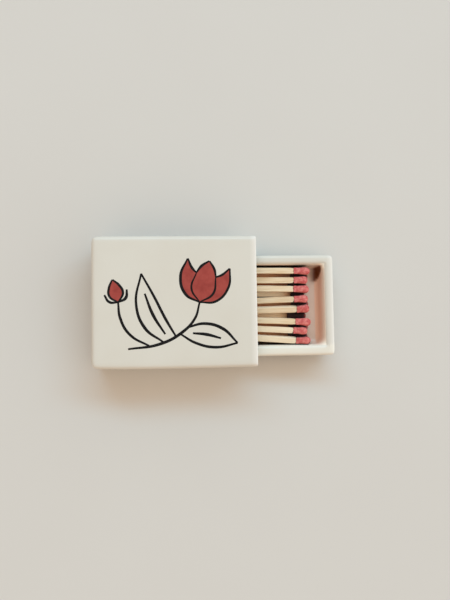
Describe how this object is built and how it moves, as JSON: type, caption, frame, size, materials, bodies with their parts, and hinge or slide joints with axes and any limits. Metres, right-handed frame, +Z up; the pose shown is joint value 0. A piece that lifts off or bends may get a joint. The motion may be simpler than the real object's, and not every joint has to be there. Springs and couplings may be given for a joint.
{
  "type": "matchbox holder",
  "caption": "Glazed porcelain matchbox with a thick-walled sleeve, a tray that slides out of its mouth holding wooden safety matches, and a striker strip on its back.",
  "frame": {"origin": "centre of the sleeve's underside", "axes": "+X out of the sleeve's mouth, the way the tray slides; +Y towards the striker side; +Z up"},
  "size_m": [0.087, 0.0464, 0.0185],
  "materials": {
    "porcelain": "glossy ivory glaze",
    "match_wood": "raw pale wood",
    "match_compound": "matte granular",
    "striker": "rough, printed with grit"
  },
  "bodies": {
    "sleeve": {"sleeve": "porcelain", "striker_strip": "striker"},
    "tray": {"head_bottom_1": "match_compound", "head_bottom_2": "match_compound", "head_bottom_3": "match_compound", "head_bottom_4": "match_compound", "head_bottom_5": "match_compound", "head_bottom_6": "match_compound", "head_bottom_7": "match_compound", "head_top_1": "match_compound", "head_top_2": "match_compound", "head_top_3": "match_compound", "head_top_4": "match_compound", "head_top_5": "match_compound", "head_top_6": "match_compound", "head_top_7": "match_compound", "head_top_8": "match_compound", "stick_bottom_1": "match_wood", "stick_bottom_2": "match_wood", "stick_bottom_3": "match_wood", "stick_bottom_4": "match_wood", "stick_bottom_5": "match_wood", "stick_bottom_6": "match_wood", "stick_bottom_7": "match_wood", "stick_top_1": "match_wood", "stick_top_2": "match_wood", "stick_top_3": "match_wood", "stick_top_4": "match_wood", "stick_top_5": "match_wood", "stick_top_6": "match_wood", "stick_top_7": "match_wood", "stick_top_8": "match_wood", "tray": "porcelain"}
  },
  "joints": [
    {"name": "tray_slide", "type": "slide", "parent": "sleeve", "child": "tray", "axis": [1, 0, 0], "range_m": [-0.0262, 0.03]}
  ]
}
